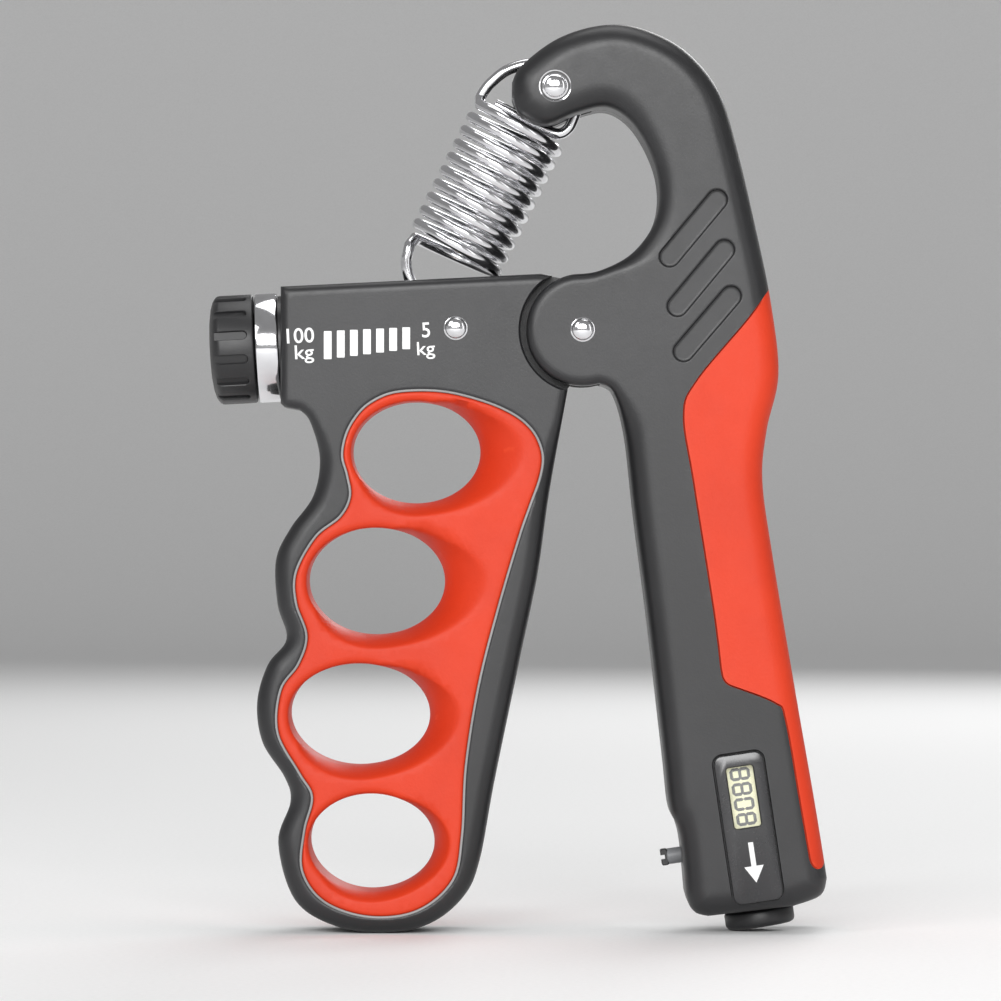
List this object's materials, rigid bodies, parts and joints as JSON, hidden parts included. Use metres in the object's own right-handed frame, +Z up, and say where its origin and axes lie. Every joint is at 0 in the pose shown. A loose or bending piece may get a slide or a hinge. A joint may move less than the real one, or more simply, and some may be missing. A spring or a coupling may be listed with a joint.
{
  "type": "hand grip strengthener",
  "caption": "Adjustable hand grip strengthener: finger handle and palm handle on one pivot, pulled apart by an adjustable extension spring, with a squeeze counter.",
  "frame": {"origin": "middle of the base of the bounding box, with the handles upright and the front face towards -Y", "axes": "+Z up along the handles, +Y through the thickness from the front to the rear, +X from the finger handle to the palm handle"},
  "size_m": [0.1114, 0.0274, 0.1636],
  "materials": {
    "shell_black": "satin",
    "grip_red": "matte",
    "chrome": "polished",
    "steel": "machined",
    "bronze": "machined",
    "knob_black": "satin",
    "label_black": "gloss",
    "window_clear": "clear",
    "lcd_film": "satin",
    "board_green": "satin",
    "plunger_grey": "satin"
  },
  "bodies": {
    "finger_handle": {"finger_front_shell": "shell_black", "finger_rear_shell": "shell_black", "finger_grip_insert": "grip_red", "barrel_stud_front": "chrome", "barrel_stud_rear": "chrome", "pivot_bush": "bronze", "adjuster_bearing": "bronze", "finger_screw_left": "steel", "finger_screw_right": "steel"},
    "palm_handle": {"palm_front_shell": "shell_black", "palm_rear_shell": "shell_black", "palm_grip_pad": "grip_red", "pivot_rivet": "chrome", "spring_rivet": "chrome", "pivot_washer_front": "steel", "pivot_washer_rear": "steel", "palm_screw_head": "steel", "palm_screw_hub": "steel", "palm_screw_middle": "steel", "palm_screw_foot": "steel", "counter_label": "label_black", "lcd_window": "window_clear", "lcd_panel": "lcd_film", "circuit_board": "board_green", "count_switch": "label_black", "reset_switch": "label_black", "cell_contact": "steel", "button_cell": "chrome", "battery_cover": "shell_black", "plunger_spring": "steel", "reset_spring": "steel"},
    "adjuster": {"adjuster_screw": "steel", "adjuster_ring": "chrome", "adjuster_knob": "knob_black"},
    "carrier": {"spring_carrier": "steel", "carrier_pin": "steel", "hook_saddle": "bronze"},
    "spring_foot": {"spring_lower_hook": "chrome", "spring_lower_coils": "chrome"},
    "spring_middle": {"spring_middle_coils": "chrome"},
    "spring_top": {"spring_upper_coils": "chrome"},
    "upper_hook": {"spring_upper_hook": "chrome"},
    "plunger": {"count_plunger": "plunger_grey", "plunger_tip": "knob_black"},
    "reset_push": {"reset_stem": "steel"},
    "reset_turn": {"reset_skirt": "knob_black", "reset_cap": "knob_black"}
  },
  "joints": [
    {"name": "squeeze", "type": "hinge", "parent": "finger_handle", "child": "palm_handle", "pos_m": [0.01169, 0, 0.1086], "axis": [0, 1, 0], "range_deg": [0, 19], "stiffness_Nm_per_rad": 8},
    {"name": "adjuster_turn", "type": "hinge", "parent": "finger_handle", "child": "adjuster", "pos_m": [-0.04251, 0, 0.1057], "axis": [0.9987, 0, 0.0506], "range_deg": [0, 2880]},
    {"name": "carrier_slide", "type": "slide", "parent": "finger_handle", "child": "carrier", "axis": [-0.9987, 0, -0.0506], "range_m": [0, 0.016]},
    {"name": "spring_swing_adjust", "type": "hinge", "parent": "carrier", "child": "spring_foot", "pos_m": [-0.0147, 0, 0.11584], "axis": [0, 1, 0], "range_deg": [0, 10.2]},
    {"name": "spring_swing_squeeze", "type": "hinge", "parent": "spring_foot", "child": "spring_middle", "pos_m": [-0.0147, 0, 0.11584], "axis": [0, 1, 0], "range_deg": [0, 9.2], "deforming": ["spring_lower_coils"]},
    {"name": "spring_stretch_adjust", "type": "slide", "parent": "spring_middle", "child": "spring_top", "axis": [0.7373, 0, 0.6756], "range_m": [0, 0.012], "deforming": ["spring_middle_coils"]},
    {"name": "spring_stretch_squeeze", "type": "slide", "parent": "spring_top", "child": "upper_hook", "axis": [0.8192, 0, 0.5736], "range_m": [0, 0.0101], "deforming": ["spring_upper_coils"]},
    {"name": "plunger_press", "type": "slide", "parent": "palm_handle", "child": "plunger", "axis": [0.989, 0, 0.1478], "range_m": [0, 0.002], "stiffness_N_per_m": 250, "deforming": ["plunger_spring"]},
    {"name": "reset_press", "type": "slide", "parent": "palm_handle", "child": "reset_push", "axis": [-0.1478, 0, 0.989], "range_m": [0, 0.0015], "stiffness_N_per_m": 400, "deforming": ["reset_spring"]},
    {"name": "reset_twist", "type": "hinge", "parent": "reset_push", "child": "reset_turn", "pos_m": [0.04139, 0, 0.01915], "axis": [-0.1478, 0, 0.989], "range_deg": [0, 60], "stiffness_Nm_per_rad": 0.02}
  ],
  "couplings": [
    {"joint": "carrier_slide", "follows": "adjuster_turn", "m_per_rad": 0.00031831},
    {"joint": "spring_swing_adjust", "follows": "adjuster_turn", "ratio": 0.0033993},
    {"joint": "spring_stretch_adjust", "follows": "adjuster_turn", "m_per_rad": 0.00023038},
    {"joint": "spring_swing_squeeze", "follows": "squeeze", "ratio": 0.46474},
    {"joint": "spring_stretch_squeeze", "follows": "squeeze", "m_per_rad": 0.029462}
  ]
}
